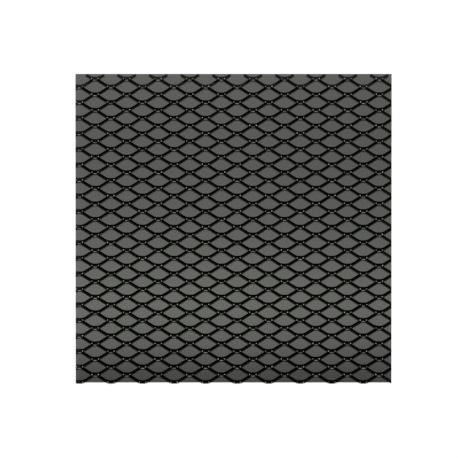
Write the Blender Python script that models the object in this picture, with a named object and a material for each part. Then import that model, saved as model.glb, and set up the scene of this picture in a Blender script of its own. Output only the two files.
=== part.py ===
"""Honeycomb light grid: corrugated aluminium ribbons bonded crest to trough into one open panel.

The panel lies flat. X runs along the ribbons, +Y runs from the last ribbon to the first, and +Z
is out of the front face. The origin is the centre of the back face. All values are in metres.
"""
import math

import bmesh
import bpy
from mathutils import Vector

# Driving dimensions
PANEL_WIDTH = 0.305
PANEL_DEPTH = 0.0254
CELLS_ACROSS = 10
RIBBON_COUNT = 39
ROW_PITCH = 0.00756
RIBBON_THICKNESS = 0.00075
BOND_GAP = 0.00066
TOP_TRIM = 0.0038

# One corrugation: a short flat crest with sharp bends, and a trough with wide bends
CREST_HALF = 0.0021
TROUGH_HALF = 0.0034
TROUGH_RADIUS = 0.0087
TROUGH_BEND_CORNERS = 2

# Crest of the odd ribbons nearest the left edge, as a fraction of a cell from that edge
FIRST_CREST = 0.615

# Worked out from the dimensions above
CELL_LENGTH = PANEL_WIDTH / CELLS_ACROSS
HALF_WIDTH = PANEL_WIDTH / 2
HALF_THICKNESS = RIBBON_THICKNESS / 2
BOND_TO_CENTRELINE = BOND_GAP / 2 + HALF_THICKNESS
PANEL_HEIGHT = TOP_TRIM + RIBBON_COUNT * ROW_PITCH - BOND_GAP / 2
TOP_EDGE = PANEL_HEIGHT / 2

BLACK_COAT = (0.010, 0.010, 0.009, 1.0)
COAT_ROUGHNESS = 0.45
COAT_METALLIC = 0.0


def clear_scene():
    for old in list(bpy.data.objects):
        bpy.data.objects.remove(old, do_unlink=True)


def bond_line(row):
    """Y of the bond between ribbon row - 1 and ribbon row."""
    return TOP_EDGE - TOP_TRIM - (row - 1) * ROW_PITCH


def first_crest(row):
    """X of a crest of this ribbon. Each ribbon is half a cell along from the one above it."""
    shift = 0.0 if row % 2 else 0.5
    return -HALF_WIDTH + (FIRST_CREST - shift) * CELL_LENGTH


def rotated(vector, angle):
    """The vector turned anticlockwise."""
    cosine, sine = math.cos(angle), math.sin(angle)
    return Vector((vector.x * cosine - vector.y * sine, vector.x * sine + vector.y * cosine))


def trough_bend(before, corner, after):
    """Softer corners that replace one corner of a path, joined by lines that touch an arc."""
    arriving = (corner - before).normalized()
    leaving = (after - corner).normalized()
    turn = arriving.angle_signed(leaving)
    step = turn / TROUGH_BEND_CORNERS
    inward = (leaving - arriving).normalized()
    centre = corner + inward * TROUGH_RADIUS / math.cos(turn / 2)
    spoke = (corner - centre).normalized() * TROUGH_RADIUS / math.cos(step / 2)
    middle = (TROUGH_BEND_CORNERS - 1) / 2
    return [centre + rotated(spoke, (middle - i) * step) for i in range(TROUGH_BEND_CORNERS)]


def corrugation(row, first_period, periods):
    """Centreline of a ribbon, from the crest centre of one period to the crest centre of another."""
    crest_y = bond_line(row) - BOND_TO_CENTRELINE
    trough_y = bond_line(row + 1) + BOND_TO_CENTRELINE
    path = [Vector((first_crest(row) + first_period * CELL_LENGTH, crest_y))]
    for period in range(first_period, first_period + periods):
        crest_x = first_crest(row) + period * CELL_LENGTH
        trough_x = crest_x + CELL_LENGTH / 2
        leaving_crest = Vector((crest_x + CREST_HALF, crest_y))
        trough_start = Vector((trough_x - TROUGH_HALF, trough_y))
        trough_end = Vector((trough_x + TROUGH_HALF, trough_y))
        next_crest = Vector((crest_x + CELL_LENGTH - CREST_HALF, crest_y))
        path.append(leaving_crest)
        path += trough_bend(leaving_crest, trough_start, trough_end)
        path += trough_bend(trough_start, trough_end, next_crest)
        path.append(next_crest)
    path.append(Vector((first_crest(row) + (first_period + periods) * CELL_LENGTH, crest_y)))
    return path


def offset_path(path, distance):
    """The path moved sideways, to its left for a positive distance, with mitred corners."""
    moved = []
    for i, point in enumerate(path):
        before = path[max(i - 1, 0)]
        after = path[min(i + 1, len(path) - 1)]
        arriving = (point - before).normalized() if i else (after - point).normalized()
        leaving = (after - point).normalized() if i < len(path) - 1 else arriving
        normal = rotated((arriving + leaving).normalized(), math.pi / 2)
        moved.append(point + normal * distance / normal.dot(rotated(leaving, math.pi / 2)))
    return moved


def strip(path):
    """A closed strip that follows the path, as deep as the panel."""
    shape = bmesh.new()
    upper = offset_path(path, HALF_THICKNESS)
    lower = offset_path(path, -HALF_THICKNESS)
    rings = []
    for high, low in zip(upper, lower):
        rings.append([
            shape.verts.new((low.x, low.y, 0)),
            shape.verts.new((high.x, high.y, 0)),
            shape.verts.new((high.x, high.y, PANEL_DEPTH)),
            shape.verts.new((low.x, low.y, PANEL_DEPTH)),
        ])
    for ring, following in zip(rings, rings[1:]):
        for i in range(4):
            j = (i + 1) % 4
            shape.faces.new((ring[i], ring[j], following[j], following[i]))
    shape.faces.new(rings[0][::-1])
    shape.faces.new(rings[-1])
    bmesh.ops.recalc_face_normals(shape, faces=shape.faces)
    return shape


def trim(shape, point, outward):
    """Cuts off what lies beyond a plane, and closes the cut."""
    everything = shape.verts[:] + shape.edges[:] + shape.faces[:]
    bmesh.ops.bisect_plane(
        shape, geom=everything, dist=1e-7, plane_co=point, plane_no=outward, clear_outer=True
    )
    cut = [edge for edge in shape.edges if edge.is_boundary]
    bmesh.ops.holes_fill(shape, edges=cut, sides=0)
    bmesh.ops.recalc_face_normals(shape, faces=shape.faces)


def black_coat(name):
    """A black coating for one sub-part."""
    material = bpy.data.materials.new(name)
    material.use_nodes = True
    principled = material.node_tree.nodes["Principled BSDF"]
    principled.inputs["Base Color"].default_value = BLACK_COAT
    principled.inputs["Roughness"].default_value = COAT_ROUGHNESS
    principled.inputs["Metallic"].default_value = COAT_METALLIC
    return material


def add_part(name, shape):
    mesh = bpy.data.meshes.new(name)
    shape.to_mesh(mesh)
    shape.free()
    mesh.materials.append(black_coat(name))
    part = bpy.data.objects.new(name, mesh)
    bpy.context.collection.objects.link(part)
    return part


def add_ribbon(row):
    """A ribbon from the left edge to the right edge."""
    shape = strip(corrugation(row, -1, CELLS_ACROSS + 2))
    trim(shape, (-HALF_WIDTH, 0, 0), (-1, 0, 0))
    trim(shape, (HALF_WIDTH, 0, 0), (1, 0, 0))
    add_part(f"ribbon_{row:02d}", shape)


def add_top_remnant(number):
    """A trough left of the ribbon above the first, which the top edge cuts off below its crests."""
    shape = strip(corrugation(0, number - 1, 1))
    trim(shape, (0, TOP_EDGE, 0), (0, 1, 0))
    add_part(f"top_remnant_{number:02d}", shape)


clear_scene()
for row in range(1, RIBBON_COUNT + 1):
    add_ribbon(row)
for number in range(1, CELLS_ACROSS + 1):
    add_top_remnant(number)
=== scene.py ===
import math
import random

import bmesh
import bpy
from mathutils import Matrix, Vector, noise


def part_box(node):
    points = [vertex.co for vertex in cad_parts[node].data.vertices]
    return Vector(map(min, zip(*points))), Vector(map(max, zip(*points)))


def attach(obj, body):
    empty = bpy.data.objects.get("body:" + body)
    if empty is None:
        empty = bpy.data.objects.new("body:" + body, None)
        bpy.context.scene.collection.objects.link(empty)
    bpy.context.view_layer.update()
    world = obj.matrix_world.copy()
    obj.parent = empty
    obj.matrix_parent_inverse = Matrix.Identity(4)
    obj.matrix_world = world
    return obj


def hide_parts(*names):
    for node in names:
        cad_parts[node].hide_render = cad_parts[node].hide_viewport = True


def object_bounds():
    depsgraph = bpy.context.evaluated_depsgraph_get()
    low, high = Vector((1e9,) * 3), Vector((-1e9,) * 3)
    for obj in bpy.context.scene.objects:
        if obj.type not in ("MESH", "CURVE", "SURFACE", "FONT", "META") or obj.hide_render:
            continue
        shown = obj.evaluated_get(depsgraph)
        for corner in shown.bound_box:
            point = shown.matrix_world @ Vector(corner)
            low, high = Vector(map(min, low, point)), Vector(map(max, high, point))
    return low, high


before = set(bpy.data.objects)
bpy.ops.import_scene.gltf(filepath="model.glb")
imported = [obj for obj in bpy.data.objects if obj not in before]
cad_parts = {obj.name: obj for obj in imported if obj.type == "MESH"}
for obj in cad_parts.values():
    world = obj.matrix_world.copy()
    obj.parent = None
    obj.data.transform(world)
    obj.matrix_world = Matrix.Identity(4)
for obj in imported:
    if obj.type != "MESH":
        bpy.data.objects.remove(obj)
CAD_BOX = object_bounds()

# ---------------------------------------------------------------- measures, in metres, read from the frame
LOW, HIGH = CAD_BOX
LEFT, RIGHT = LOW.x, HIGH.x
TOP_EDGE, BOTTOM_EDGE = HIGH.y, LOW.y
DEPTH = HIGH.z - LOW.z
RIBBONS = sorted(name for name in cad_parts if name.startswith("ribbon_"))
REMNANTS = sorted(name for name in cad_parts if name.startswith("top_remnant_"))
CELLS = len(REMNANTS)
CELL_LENGTH = (RIGHT - LEFT) / CELLS
LAST_ROW = len(RIBBONS) + 1
ROW_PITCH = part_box(RIBBONS[0])[1].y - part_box(RIBBONS[1])[1].y
BOND_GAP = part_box(REMNANTS[0])[0].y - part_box(RIBBONS[0])[1].y
FIRST_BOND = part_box(RIBBONS[0])[1].y + BOND_GAP / 2
FIRST_NODE = (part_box(REMNANTS[0])[0].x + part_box(REMNANTS[0])[1].x) / 2

# ---------------------------------------------------------------- the strip and its bends
# As the solids have them, with the bends now rounded
THICKNESS = 0.00075
CREST_HALF, CREST_RADIUS, CREST_CHORDS = 0.0021, 0.0016, 3
TROUGH_HALF, TROUGH_RADIUS, TROUGH_CHORDS = 0.0034, 0.0087, 5
WALL_RUN = CELL_LENGTH / 2 - CREST_HALF - TROUGH_HALF
WALL_RISE = ROW_PITCH - THICKNESS - BOND_GAP
TROUGH_TURN = math.atan2(WALL_RISE, WALL_RUN)
EDGE_ROUND = 0.00010
SAME_POINT = 1e-7
STRIP_SHARP_DEGREES = 50

# A face belongs to a cut edge where its normal points this much along Z, up or down
CUT_EDGE_NORMAL_Z = 0.5

# Unevenness: how far bonds and bends stray, and the steps and layers at which the bonds' offsets are read
# from a noise field
NODE_JITTER, BEND_JITTER = 0.00016, 0.00010
JITTER_STEP_ACROSS, JITTER_STEP_DOWN, JITTER_LAYERS = 3.7, 5.3, (0.5, 9.5)

# ---------------------------------------------------------------- the adhesive
# A bead runs through each bond. Its low domed head at both faces, a little above the bond's middle, is listed
# from the middle out, as the share of its full outline and how far it stands out of the face. The keel is the
# bead between the ribbons, a little inside both faces.
BEAD_HALF_LENGTH, BEAD_HALF_HEIGHT, BEAD_SIDES = 0.00178, 0.00031, 14
BEAD_PROUD, RIM_PROUD = 0.00013, 0.00001
HEAD_RISE = 0.00020
HEAD_PROFILE = [(0.35, BEAD_PROUD), (0.72, BEAD_PROUD * 0.78), (0.95, BEAD_PROUD * 0.35), (1.0, RIM_PROUD)]
KEEL_START, KEEL_LENGTH_SHARE, KEEL_HALF_HEIGHT = 0.0006, 0.95, BOND_GAP * 0.42

# Two drops stand in the trough's bends. A drop's profile is listed from its foot up, as the share of its
# radius and of its half height. It is stretched along Y, its half height is flatter than its radius, and its
# middle is a little less than a radius off the trough.
DROP_OUT, DROP_OUT_JITTER = 0.00310, 0.00015
DROP_RADIUS, DROP_SIDES = 0.00047, 10
DROP_STRETCH, DROP_FLATNESS, DROP_SEAT = 1.1, 0.5, 0.95
DROP_PROFILE = [(0.45, -0.95), (0.9, -0.5), (1.0, 0.15), (0.75, 0.72), (0.35, 1.0)]

# How much beads and drops vary in size
BEAD_SIZES, DROP_SIZES = (0.92, 1.06), (0.82, 1.12)
ADHESIVE_SHARP_DEGREES = 60

# ---------------------------------------------------------------- tones, each as its dark and its light end
FOIL_TONES = (0.0056, 0.0056, 0.0053), (0.0116, 0.0116, 0.0109)
# The cut edges get a black far darker than the walls: painted shade that keeps the edges facing the key light
# as dark as the walls
CUT_EDGE_SHADE_TONES = (0.0009, 0.0009, 0.0009), (0.0020, 0.0020, 0.0018)
# The beads and drops are adhesive, but their light grey is painted: a painted highlight along each bead and
# painted glints on the drops
BEAD_HIGHLIGHT_TONES = (0.022, 0.022, 0.0215), (0.060, 0.060, 0.0588)
DROP_GLINT_TONES = (0.039, 0.039, 0.038), (0.097, 0.097, 0.0948)
FLOOR_TONES = (0.84, 0.84, 0.84), (0.88, 0.88, 0.88)

# Most of a noise texture's values lie between these, and most of a coarse one's between the second two
NOISE_LOW, NOISE_HIGH = 0.3, 0.7
COARSE_NOISE_LOW, COARSE_NOISE_HIGH = 0.36, 0.64

# The card's tone, painted shade seen through the deep cells, with its levels along the panel from the bottom
# edge to the top one, and at the right edge
CARD_SHADE_GREY = 0.0985
CARD_TINT = (0.985, 1.02, 0.94)
# The levels are painted light and shade: darkest at the bottom edge, lightest a quarter of the way up, darker
# towards the right
CARD_LIGHT_AND_SHADE_LEVELS = [
    (0.0, 0.56), (0.04, 0.68), (0.10, 0.95), (0.16, 1.12),
    (0.27, 1.25), (0.50, 1.03), (0.79, 0.93), (1.0, 1.03),
]
CARD_RIGHT_SHADE_LEVEL = 0.90

# ---------------------------------------------------------------- the stage and the camera
CARD_THICKNESS = 0.0004
CARD_CLEARANCE = 0.00005
CARD_OVERHANG = 0.0003
CARD_BOTTOM_TRIM = 0.0009
FLOOR_SIZE, FLOOR_THICKNESS = 12.0, 0.02
SLAB_SHARP_DEGREES = 30

# The camera looks along the panel's normal, tilted towards its top edge. Its aim is a little off the panel's
# middle, and it is far away, so that all strands look equally wide.
TILT = math.radians(5.75)
PICTURE_OVER_PANEL = 1.4515
AIM_SHIFT = Vector((-0.00440, -0.00016, 0.0))
CAMERA_DISTANCE = 16.0

# The faint white light from all around
WORLD_STRENGTH = 0.12

random.seed(39)


# ---------------------------------------------------------------- the lattice of bonds
def node_jitter(row, column):
    """Small offset of one bond from its ideal place, the same for both ribbons that meet there.

    The bonds next to the top edge and the free troughs at the bottom edge have none.
    """
    if row in (0, 1, LAST_ROW):
        return Vector((0.0, 0.0))
    across, down = column * JITTER_STEP_ACROSS, row * JITTER_STEP_DOWN
    return Vector([noise.noise(Vector((across, down, layer))) for layer in JITTER_LAYERS]) * NODE_JITTER


def node_place(row, column):
    """Middle of the bond between ribbon row - 1 and ribbon row."""
    shift = 0.0 if row % 2 else -0.5
    ideal = Vector((FIRST_NODE + (column + shift) * CELL_LENGTH, FIRST_BOND - (row - 1) * ROW_PITCH))
    return ideal + node_jitter(row, column)


# ---------------------------------------------------------------- paths
def rotated(vector, angle):
    """The vector turned anticlockwise."""
    cosine, sine = math.cos(angle), math.sin(angle)
    return Vector((vector.x * cosine - vector.y * sine, vector.x * sine + vector.y * cosine))


def rounded_corner(before, corner, after, radius, chords):
    """Points that replace a corner of a path by the given number of chords around an arc."""
    arriving = (corner - before).normalized()
    leaving = (after - corner).normalized()
    turn = arriving.angle_signed(leaving)
    step = turn / (chords + 1)
    inward = (leaving - arriving).normalized()
    centre = corner + inward * radius / math.cos(turn / 2)
    spoke = (corner - centre).normalized() * radius / math.cos(step / 2)
    return [centre + rotated(spoke, (chords / 2 - i) * step) for i in range(chords + 1)]


def ribbon_path(row, first, last):
    """Centreline of a ribbon from the crest at one node to the crest at another."""
    drop = Vector((0.0, BOND_GAP / 2 + THICKNESS / 2))
    lower_first = 0 if row % 2 else -1
    corners = []
    for column in range(first, last):
        crest = node_place(row, column) - drop
        trough = node_place(row + 1, column + 1 + lower_first) + drop
        following = node_place(row, column + 1) - drop
        reach = Vector((TROUGH_HALF + random.uniform(-BEND_JITTER, BEND_JITTER), 0))
        corners.append((crest + Vector((CREST_HALF, 0)), CREST_RADIUS, CREST_CHORDS))
        corners.append((trough - reach, TROUGH_RADIUS, TROUGH_CHORDS))
        corners.append((trough + reach, TROUGH_RADIUS, TROUGH_CHORDS))
        corners.append((following - Vector((CREST_HALF, 0)), CREST_RADIUS, CREST_CHORDS))
    start = corners[0][0] - Vector((CREST_HALF, 0))
    end = corners[-1][0] + Vector((CREST_HALF, 0))
    spots = [start] + [corner[0] for corner in corners] + [end]
    path = [start]
    for i, (corner, radius, chords) in enumerate(corners):
        path += rounded_corner(spots[i], corner, spots[i + 2], radius, chords)
    return path + [end]


def path_normals(path):
    """A sideways vector at each point, long enough to keep a mitred offset parallel."""
    normals = []
    for i, point in enumerate(path):
        before = path[max(i - 1, 0)]
        after = path[min(i + 1, len(path) - 1)]
        arriving = (point - before).normalized() if i else (after - point).normalized()
        leaving = (after - point).normalized() if i < len(path) - 1 else arriving
        normal = rotated((arriving + leaving).normalized(), math.pi / 2)
        normals.append(normal / normal.dot(rotated(leaving, math.pi / 2)))
    return normals


# ---------------------------------------------------------------- mesh helpers
def finished(name, shape, materials, sharp_degrees):
    """Turns a bmesh into an object, shaded smooth except at edges sharper than the angle."""
    bmesh.ops.recalc_face_normals(shape, faces=shape.faces)
    mesh = bpy.data.meshes.new(name)
    shape.to_mesh(mesh)
    shape.free()
    for material in materials:
        mesh.materials.append(material)
    mesh.shade_smooth()
    mesh.set_sharp_from_angle(angle=math.radians(sharp_degrees))
    piece = bpy.data.objects.new(name, mesh)
    bpy.context.collection.objects.link(piece)
    return piece


def join_rings(shape, rings, material_index=0):
    """Skins a list of closed rings of vertices and caps both ends."""
    for ring, following in zip(rings, rings[1:]):
        for i in range(len(ring)):
            j = (i + 1) % len(ring)
            face = shape.faces.new((ring[i], ring[j], following[j], following[i]))
            face.material_index = material_index
    for cap in (rings[0][::-1], rings[-1]):
        shape.faces.new(cap).material_index = material_index


def strip_section():
    """Outline of the strip across its thickness and depth, with its four edges eased."""
    half = THICKNESS / 2
    corners = [(-half, LOW.z), (half, LOW.z), (half, HIGH.z), (-half, HIGH.z)]
    section = []
    for side, z in corners:
        inward_side = side - math.copysign(EDGE_ROUND, side)
        inward_z = z + EDGE_ROUND if z == LOW.z else z - EDGE_ROUND
        pair = [(side, inward_z), (inward_side, z)]
        if (side < 0) != (z == LOW.z):
            pair.reverse()
        section += pair
    return section


def swept_strip(path):
    """A closed strip that follows the path, as deep as the panel."""
    shape = bmesh.new()
    section = strip_section()
    rings = []
    for point, normal in zip(path, path_normals(path)):
        ring = []
        for side, z in section:
            place = point + normal * side
            ring.append(shape.verts.new((place.x, place.y, z)))
        rings.append(ring)
    join_rings(shape, rings)
    return shape


def shade_cut_edges(shape):
    """Gives the second material, the painted-shade black, to faces that look out of the front or the back,
    eased edges included.
    """
    shape.normal_update()
    for face in shape.faces:
        face.material_index = int(abs(face.normal.z) > CUT_EDGE_NORMAL_Z)


def trim(shape, point, outward):
    """Cuts off what lies beyond a plane, and closes the cut."""
    everything = shape.verts[:] + shape.edges[:] + shape.faces[:]
    bmesh.ops.bisect_plane(
        shape, geom=everything, dist=SAME_POINT, plane_co=point, plane_no=outward, clear_outer=True
    )
    cut = [edge for edge in shape.edges if edge.is_boundary]
    bmesh.ops.holes_fill(shape, edges=cut, sides=0)


# ---------------------------------------------------------------- material helpers
def node_material(name):
    """A new material with its nodes and links."""
    material = bpy.data.materials.new(name)
    material.use_nodes = True
    return material, material.node_tree.nodes, material.node_tree.links


def textured(nodes, links, scale, detail, stretch=(1.0, 1.0, 1.0)):
    """Noise in the object's own coordinates, finer along an axis with a higher stretch."""
    place = nodes.new("ShaderNodeTexCoord")
    mapping = nodes.new("ShaderNodeMapping")
    mapping.inputs["Scale"].default_value = stretch
    pattern = nodes.new("ShaderNodeTexNoise")
    pattern.inputs["Scale"].default_value = scale
    pattern.inputs["Detail"].default_value = detail
    links.new(place.outputs["Object"], mapping.inputs["Vector"])
    links.new(mapping.outputs["Vector"], pattern.inputs["Vector"])
    return pattern.outputs["Fac"]


def ramp(nodes, links, factor, stops):
    """Colours between stops, each (position, colour)."""
    scale = nodes.new("ShaderNodeValToRGB")
    while len(scale.color_ramp.elements) < len(stops):
        scale.color_ramp.elements.new(0.5)
    for element, (position, colour) in zip(scale.color_ramp.elements, stops):
        element.position = position
        element.color = (*colour, 1.0)
    links.new(factor, scale.inputs["Fac"])
    return scale.outputs["Color"]


def toned(nodes, links, factor, tones, low=NOISE_LOW, high=NOISE_HIGH):
    """The dark tone where the pattern is low and the light one where it is high."""
    dark, light = tones
    return ramp(nodes, links, factor, [(low, dark), (high, light)])


def spread(nodes, links, factor, low, high):
    """A number between low and high that follows the pattern."""
    span = nodes.new("ShaderNodeMapRange")
    span.inputs["From Min"].default_value = NOISE_LOW
    span.inputs["From Max"].default_value = NOISE_HIGH
    span.inputs["To Min"].default_value = low
    span.inputs["To Max"].default_value = high
    links.new(factor, span.inputs["Value"])
    return span.outputs["Result"]


def scaled(nodes, links, colour, factor):
    """The colour made lighter or darker by a pattern."""
    product = nodes.new("ShaderNodeVectorMath")
    product.operation = "SCALE"
    links.new(colour, product.inputs["Vector"])
    links.new(factor, product.inputs["Scale"])
    return product.outputs["Vector"]


def bumped(nodes, links, height, distance, strength, under=None):
    """A bumpy normal, on top of the bumps under it if there are any."""
    bump = nodes.new("ShaderNodeBump")
    bump.inputs["Distance"].default_value = distance
    bump.inputs["Strength"].default_value = strength
    links.new(height, bump.inputs["Height"])
    if under:
        links.new(under, bump.inputs["Normal"])
    return bump.outputs["Normal"]


# ---------------------------------------------------------------- materials
def anodised_black():
    """Matte black anodising over rolled foil: cloudy tone, fine rolling lines along the strip, soft dents."""
    material, nodes, links = node_material("anodised_black")
    skin = nodes["Principled BSDF"]
    clouds = textured(nodes, links, scale=60.0, detail=4.0, stretch=(1.0, 1.0, 0.6))
    rolling = textured(nodes, links, scale=500.0, detail=3.0, stretch=(0.06, 0.06, 6.0))
    dents = textured(nodes, links, scale=110.0, detail=2.0, stretch=(1.0, 1.0, 0.5))
    tone = toned(nodes, links, clouds, FOIL_TONES)
    streaks = spread(nodes, links, rolling, low=0.70, high=1.30)
    links.new(scaled(nodes, links, tone, streaks), skin.inputs["Base Color"])
    links.new(spread(nodes, links, rolling, low=0.78, high=0.94), skin.inputs["Roughness"])
    dented = bumped(nodes, links, dents, distance=0.0005, strength=0.6)
    lined = bumped(nodes, links, rolling, distance=0.00005, strength=0.7, under=dented)
    links.new(lined, skin.inputs["Normal"])
    skin.inputs["Specular IOR Level"].default_value = 0.0
    return material


def shaded_cut_edge():
    """Dead matte black on the cut edges of the strip, with a fine sprayed grain, far darker than the walls as
    painted shade.
    """
    material, nodes, links = node_material("shaded_cut_edge")
    skin = nodes["Principled BSDF"]
    grain = textured(nodes, links, scale=1400.0, detail=2.0)
    links.new(toned(nodes, links, grain, CUT_EDGE_SHADE_TONES), skin.inputs["Base Color"])
    links.new(spread(nodes, links, grain, low=0.72, high=0.90), skin.inputs["Roughness"])
    skin.inputs["Specular IOR Level"].default_value = 0.0
    return material


def adhesive_with_painted_highlight(name, tones, smoothest, roughest):
    """Satin cured adhesive, cloudier in some places than in others, with a faintly rippled skin; its light
    grey is a painted highlight.
    """
    material, nodes, links = node_material(name)
    skin = nodes["Principled BSDF"]
    batch = textured(nodes, links, scale=190.0, detail=1.0)
    ripples = textured(nodes, links, scale=900.0, detail=2.0)
    tone = toned(nodes, links, batch, tones, COARSE_NOISE_LOW, COARSE_NOISE_HIGH)
    links.new(tone, skin.inputs["Base Color"])
    links.new(spread(nodes, links, ripples, smoothest, roughest), skin.inputs["Roughness"])
    links.new(bumped(nodes, links, ripples, distance=0.00005, strength=0.4), skin.inputs["Normal"])
    skin.inputs["Specular IOR Level"].default_value = 0.08
    return material


def pale_floor():
    """Nearly white floor with a faint mottle."""
    material, nodes, links = node_material("pale_floor")
    skin = nodes["Principled BSDF"]
    grain = textured(nodes, links, scale=35.0, detail=5.0)
    links.new(toned(nodes, links, grain, FLOOR_TONES), skin.inputs["Base Color"])
    skin.inputs["Roughness"].default_value = 0.9
    skin.inputs["Specular IOR Level"].default_value = 0.1
    return material


def grey_card_painted_shade():
    """Grey card with a fine grain, painted shade for the cells, whose tone drifts from the bottom edge to the
    top one and to the right as painted light and shade.
    """
    material, nodes, links = node_material("grey_card_painted_shade")
    skin = nodes["Principled BSDF"]
    split = nodes.new("ShaderNodeSeparateXYZ")
    links.new(nodes.new("ShaderNodeTexCoord").outputs["Object"], split.inputs["Vector"])
    along = nodes.new("ShaderNodeMapRange")
    along.inputs["From Min"].default_value = BOTTOM_EDGE
    along.inputs["From Max"].default_value = TOP_EDGE
    links.new(split.outputs["Y"], along.inputs["Value"])
    stops = [(place, [CARD_SHADE_GREY * level * tint for tint in CARD_TINT]) for place, level in CARD_LIGHT_AND_SHADE_LEVELS]
    tone = ramp(nodes, links, along.outputs["Result"], stops)
    tone.node.color_ramp.interpolation = "CARDINAL"
    across = nodes.new("ShaderNodeMapRange")
    across.inputs["From Min"].default_value = 0.0
    across.inputs["From Max"].default_value = RIGHT
    across.inputs["To Min"].default_value = 1.0
    across.inputs["To Max"].default_value = CARD_RIGHT_SHADE_LEVEL
    links.new(split.outputs["X"], across.inputs["Value"])
    tone = scaled(nodes, links, tone, across.outputs["Result"])
    grain = spread(nodes, links, textured(nodes, links, scale=420.0, detail=4.0), low=0.94, high=1.06)
    links.new(scaled(nodes, links, tone, grain), skin.inputs["Base Color"])
    skin.inputs["Roughness"].default_value = 0.9
    skin.inputs["Specular IOR Level"].default_value = 0.1
    return material


BLACK = anodised_black()
EDGE_SHADED_BLACK = shaded_cut_edge()
BEAD_HIGHLIGHT = adhesive_with_painted_highlight("adhesive_with_painted_highlight", BEAD_HIGHLIGHT_TONES, smoothest=0.55, roughest=0.70)
DROP_GLINT = adhesive_with_painted_highlight("adhesive_drop_painted_glint", DROP_GLINT_TONES, smoothest=0.50, roughest=0.65)

# What the side lights shine on
PANEL_PIECES = bpy.data.collections.new("panel_pieces")


# ---------------------------------------------------------------- ribbons
def add_formed(name, shape):
    """Finishes a formed strip, which stands for the faceted solid of that name."""
    shade_cut_edges(shape)
    piece = finished(f"formed_{name}", shape, [BLACK, EDGE_SHADED_BLACK], STRIP_SHARP_DEGREES)
    PANEL_PIECES.objects.link(piece)
    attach(piece, "root")
    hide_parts(name)


def add_ribbon(row, name):
    """A ribbon from the left edge to the right edge, made longer at both ends and then trimmed."""
    shape = swept_strip(ribbon_path(row, -1, CELLS + 1))
    trim(shape, (LEFT, 0, 0), (-1, 0, 0))
    trim(shape, (RIGHT, 0, 0), (1, 0, 0))
    add_formed(name, shape)


def add_remnant(column, name):
    """A trough left of the ribbon above the first, which the top edge cuts off below its crests."""
    shape = swept_strip(ribbon_path(0, column, column + 1))
    trim(shape, (0, TOP_EDGE, 0), (0, 1, 0))
    add_formed(name, shape)


# ---------------------------------------------------------------- adhesive
def lens_ring(shape, centre, half_length, half_height, z, sides):
    """An oval ring of vertices that faces the front."""
    ring = []
    for i in range(sides):
        angle = 2 * math.pi * i / sides
        x = centre.x + half_length * math.cos(angle)
        y = centre.y + half_height * math.sin(angle)
        ring.append(shape.verts.new((x, y, z)))
    return ring


def add_bead(shape, centre, scale):
    """Adhesive through the gap, as deep as the panel, swelling into a low head over both ribbons' edges."""
    length, height = BEAD_HALF_LENGTH * scale, BEAD_HALF_HEIGHT * scale
    head = centre + Vector((0.0, HEAD_RISE))
    rings = []
    for share, out in HEAD_PROFILE:
        rings.append(lens_ring(shape, head, length * share, height * share, LOW.z - out, BEAD_SIDES))
    for z in (LOW.z + KEEL_START, HIGH.z - KEEL_START):
        rings.append(lens_ring(shape, centre, length * KEEL_LENGTH_SHARE, KEEL_HALF_HEIGHT, z, BEAD_SIDES))
    for share, out in reversed(HEAD_PROFILE):
        rings.append(lens_ring(shape, head, length * share, height * share, HIGH.z + out, BEAD_SIDES))
    join_rings(shape, rings)


def add_drop(shape, centre, radius):
    """A drop that stands on the trough's inner face, level with the panel's front face."""
    rings = []
    for share, rise in DROP_PROFILE:
        width = radius * share
        z = HIGH.z + rise * radius * DROP_FLATNESS
        rings.append(lens_ring(shape, centre, width, width * DROP_STRETCH, z, DROP_SIDES))
    join_rings(shape, rings, material_index=1)


def trough_face(offset):
    """Height of the trough's inner face above the bond, this far along from the bond's middle."""
    flat = TROUGH_HALF - TROUGH_RADIUS * math.tan(TROUGH_TURN / 2)
    along = max(0.0, abs(offset) - flat)
    rise = TROUGH_RADIUS - math.sqrt(TROUGH_RADIUS**2 - along**2)
    return BOND_GAP / 2 + THICKNESS + rise


def add_bond_row(row):
    """All beads and drops of a row of bonds. The last row has free troughs, so it has drops only."""
    shape = bmesh.new()
    for column in range(CELLS):
        centre = node_place(row, column)
        if row < LAST_ROW:
            add_bead(shape, centre, random.uniform(*BEAD_SIZES))
        for side in (-1, 1):
            radius = DROP_RADIUS * random.uniform(*DROP_SIZES)
            out = side * (DROP_OUT + random.uniform(-DROP_OUT_JITTER, DROP_OUT_JITTER))
            spot = centre + Vector((out, trough_face(out) + radius * DROP_SEAT))
            if LEFT < spot.x - radius and spot.x + radius < RIGHT:
                add_drop(shape, spot, radius)
    piece = finished(f"adhesive_glint_row_{row:02d}", shape, [BEAD_HIGHLIGHT, DROP_GLINT], ADHESIVE_SHARP_DEGREES)
    PANEL_PIECES.objects.link(piece)
    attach(piece, "root")


for number, name in enumerate(RIBBONS, start=1):
    add_ribbon(number, name)
for column, name in enumerate(REMNANTS):
    add_remnant(column, name)
for row in range(1, LAST_ROW + 1):
    add_bond_row(row)


# ---------------------------------------------------------------- stage
def add_slab(name, low, high, material):
    """A flat slab between two corners, for the stage only."""
    shape = bmesh.new()
    bmesh.ops.create_cube(shape, size=1.0)
    size = Vector(high) - Vector(low)
    middle = (Vector(high) + Vector(low)) / 2
    for vertex in shape.verts:
        vertex.co = Vector((vertex.co.x * size.x, vertex.co.y * size.y, vertex.co.z * size.z)) + middle
    finished(name, shape, [material], SLAB_SHARP_DEGREES)


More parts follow.
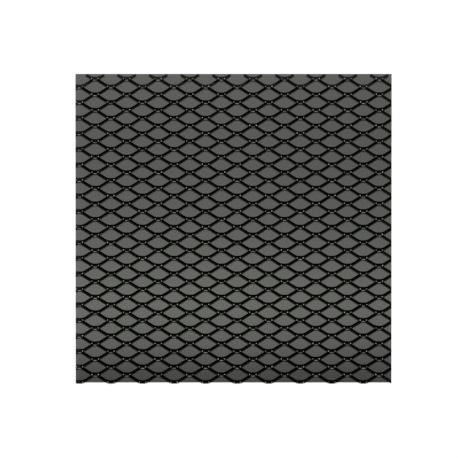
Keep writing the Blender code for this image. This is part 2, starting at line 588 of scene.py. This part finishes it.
floor_top = LOW.z - CARD_THICKNESS
card_bottom_edge = BOTTOM_EDGE - DEPTH * math.tan(TILT) + CARD_BOTTOM_TRIM
add_slab(
    "floor",
    (-FLOOR_SIZE / 2, -FLOOR_SIZE / 2, floor_top - FLOOR_THICKNESS),
    (FLOOR_SIZE / 2, FLOOR_SIZE / 2, floor_top),
    pale_floor(),
)
# The card lies under the panel alone; its grey is painted shade seen through the cells
add_slab(
    "card",
    (LEFT - CARD_OVERHANG, card_bottom_edge, floor_top),
    (RIGHT + CARD_OVERHANG, TOP_EDGE, LOW.z - CARD_CLEARANCE),
    grey_card_painted_shade(),
)


# ---------------------------------------------------------------- lights
def add_sun(name, towards_light, strength, degrees, receivers=None):
    """A soft far light, as wide as the angle. With receivers, it lights that collection alone."""
    light = bpy.data.lights.new(name, "SUN")
    light.energy = strength
    light.angle = math.radians(degrees)
    lamp = bpy.data.objects.new(name, light)
    lamp.rotation_mode = "QUATERNION"
    lamp.rotation_quaternion = towards_light.to_track_quat("Z", "Y")
    lamp.light_linking.receiver_collection = receivers
    bpy.context.collection.objects.link(lamp)


# The side lights show the form of the walls that face away from the camera, and leave the floor evenly bright
towards_camera = Vector((0.0, math.sin(TILT), math.cos(TILT)))
add_sun("key", towards_camera, strength=3.5, degrees=5.0)
add_sun("side_left", Vector((-0.62, -0.75, 0.38)), strength=18.0, degrees=25.0, receivers=PANEL_PIECES)
add_sun("side_right", Vector((0.68, -0.68, 0.30)), strength=11.0, degrees=25.0, receivers=PANEL_PIECES)
add_sun("side_back", Vector((-0.30, 0.95, 0.09)), strength=3.0, degrees=8.0, receivers=PANEL_PIECES)

world = bpy.data.worlds.new("studio")
world.use_nodes = True
background = world.node_tree.nodes["Background"]
background.inputs["Color"].default_value = (1.0, 1.0, 1.0, 1.0)
background.inputs["Strength"].default_value = WORLD_STRENGTH
bpy.context.scene.world = world
bpy.context.scene.view_settings.view_transform = "Standard"

# ---------------------------------------------------------------- camera
camera_data = bpy.data.cameras.new("camera")
camera_data.angle = 2 * math.atan((RIGHT - LEFT) * PICTURE_OVER_PANEL / 2 / CAMERA_DISTANCE)
camera_data.clip_end = 2 * CAMERA_DISTANCE
camera = bpy.data.objects.new("camera", camera_data)
camera.rotation_euler = (-TILT, 0.0, 0.0)
panel_middle = (LOW + HIGH) / 2
camera.location = panel_middle + AIM_SHIFT + towards_camera * CAMERA_DISTANCE
bpy.context.collection.objects.link(camera)
bpy.context.scene.camera = camera
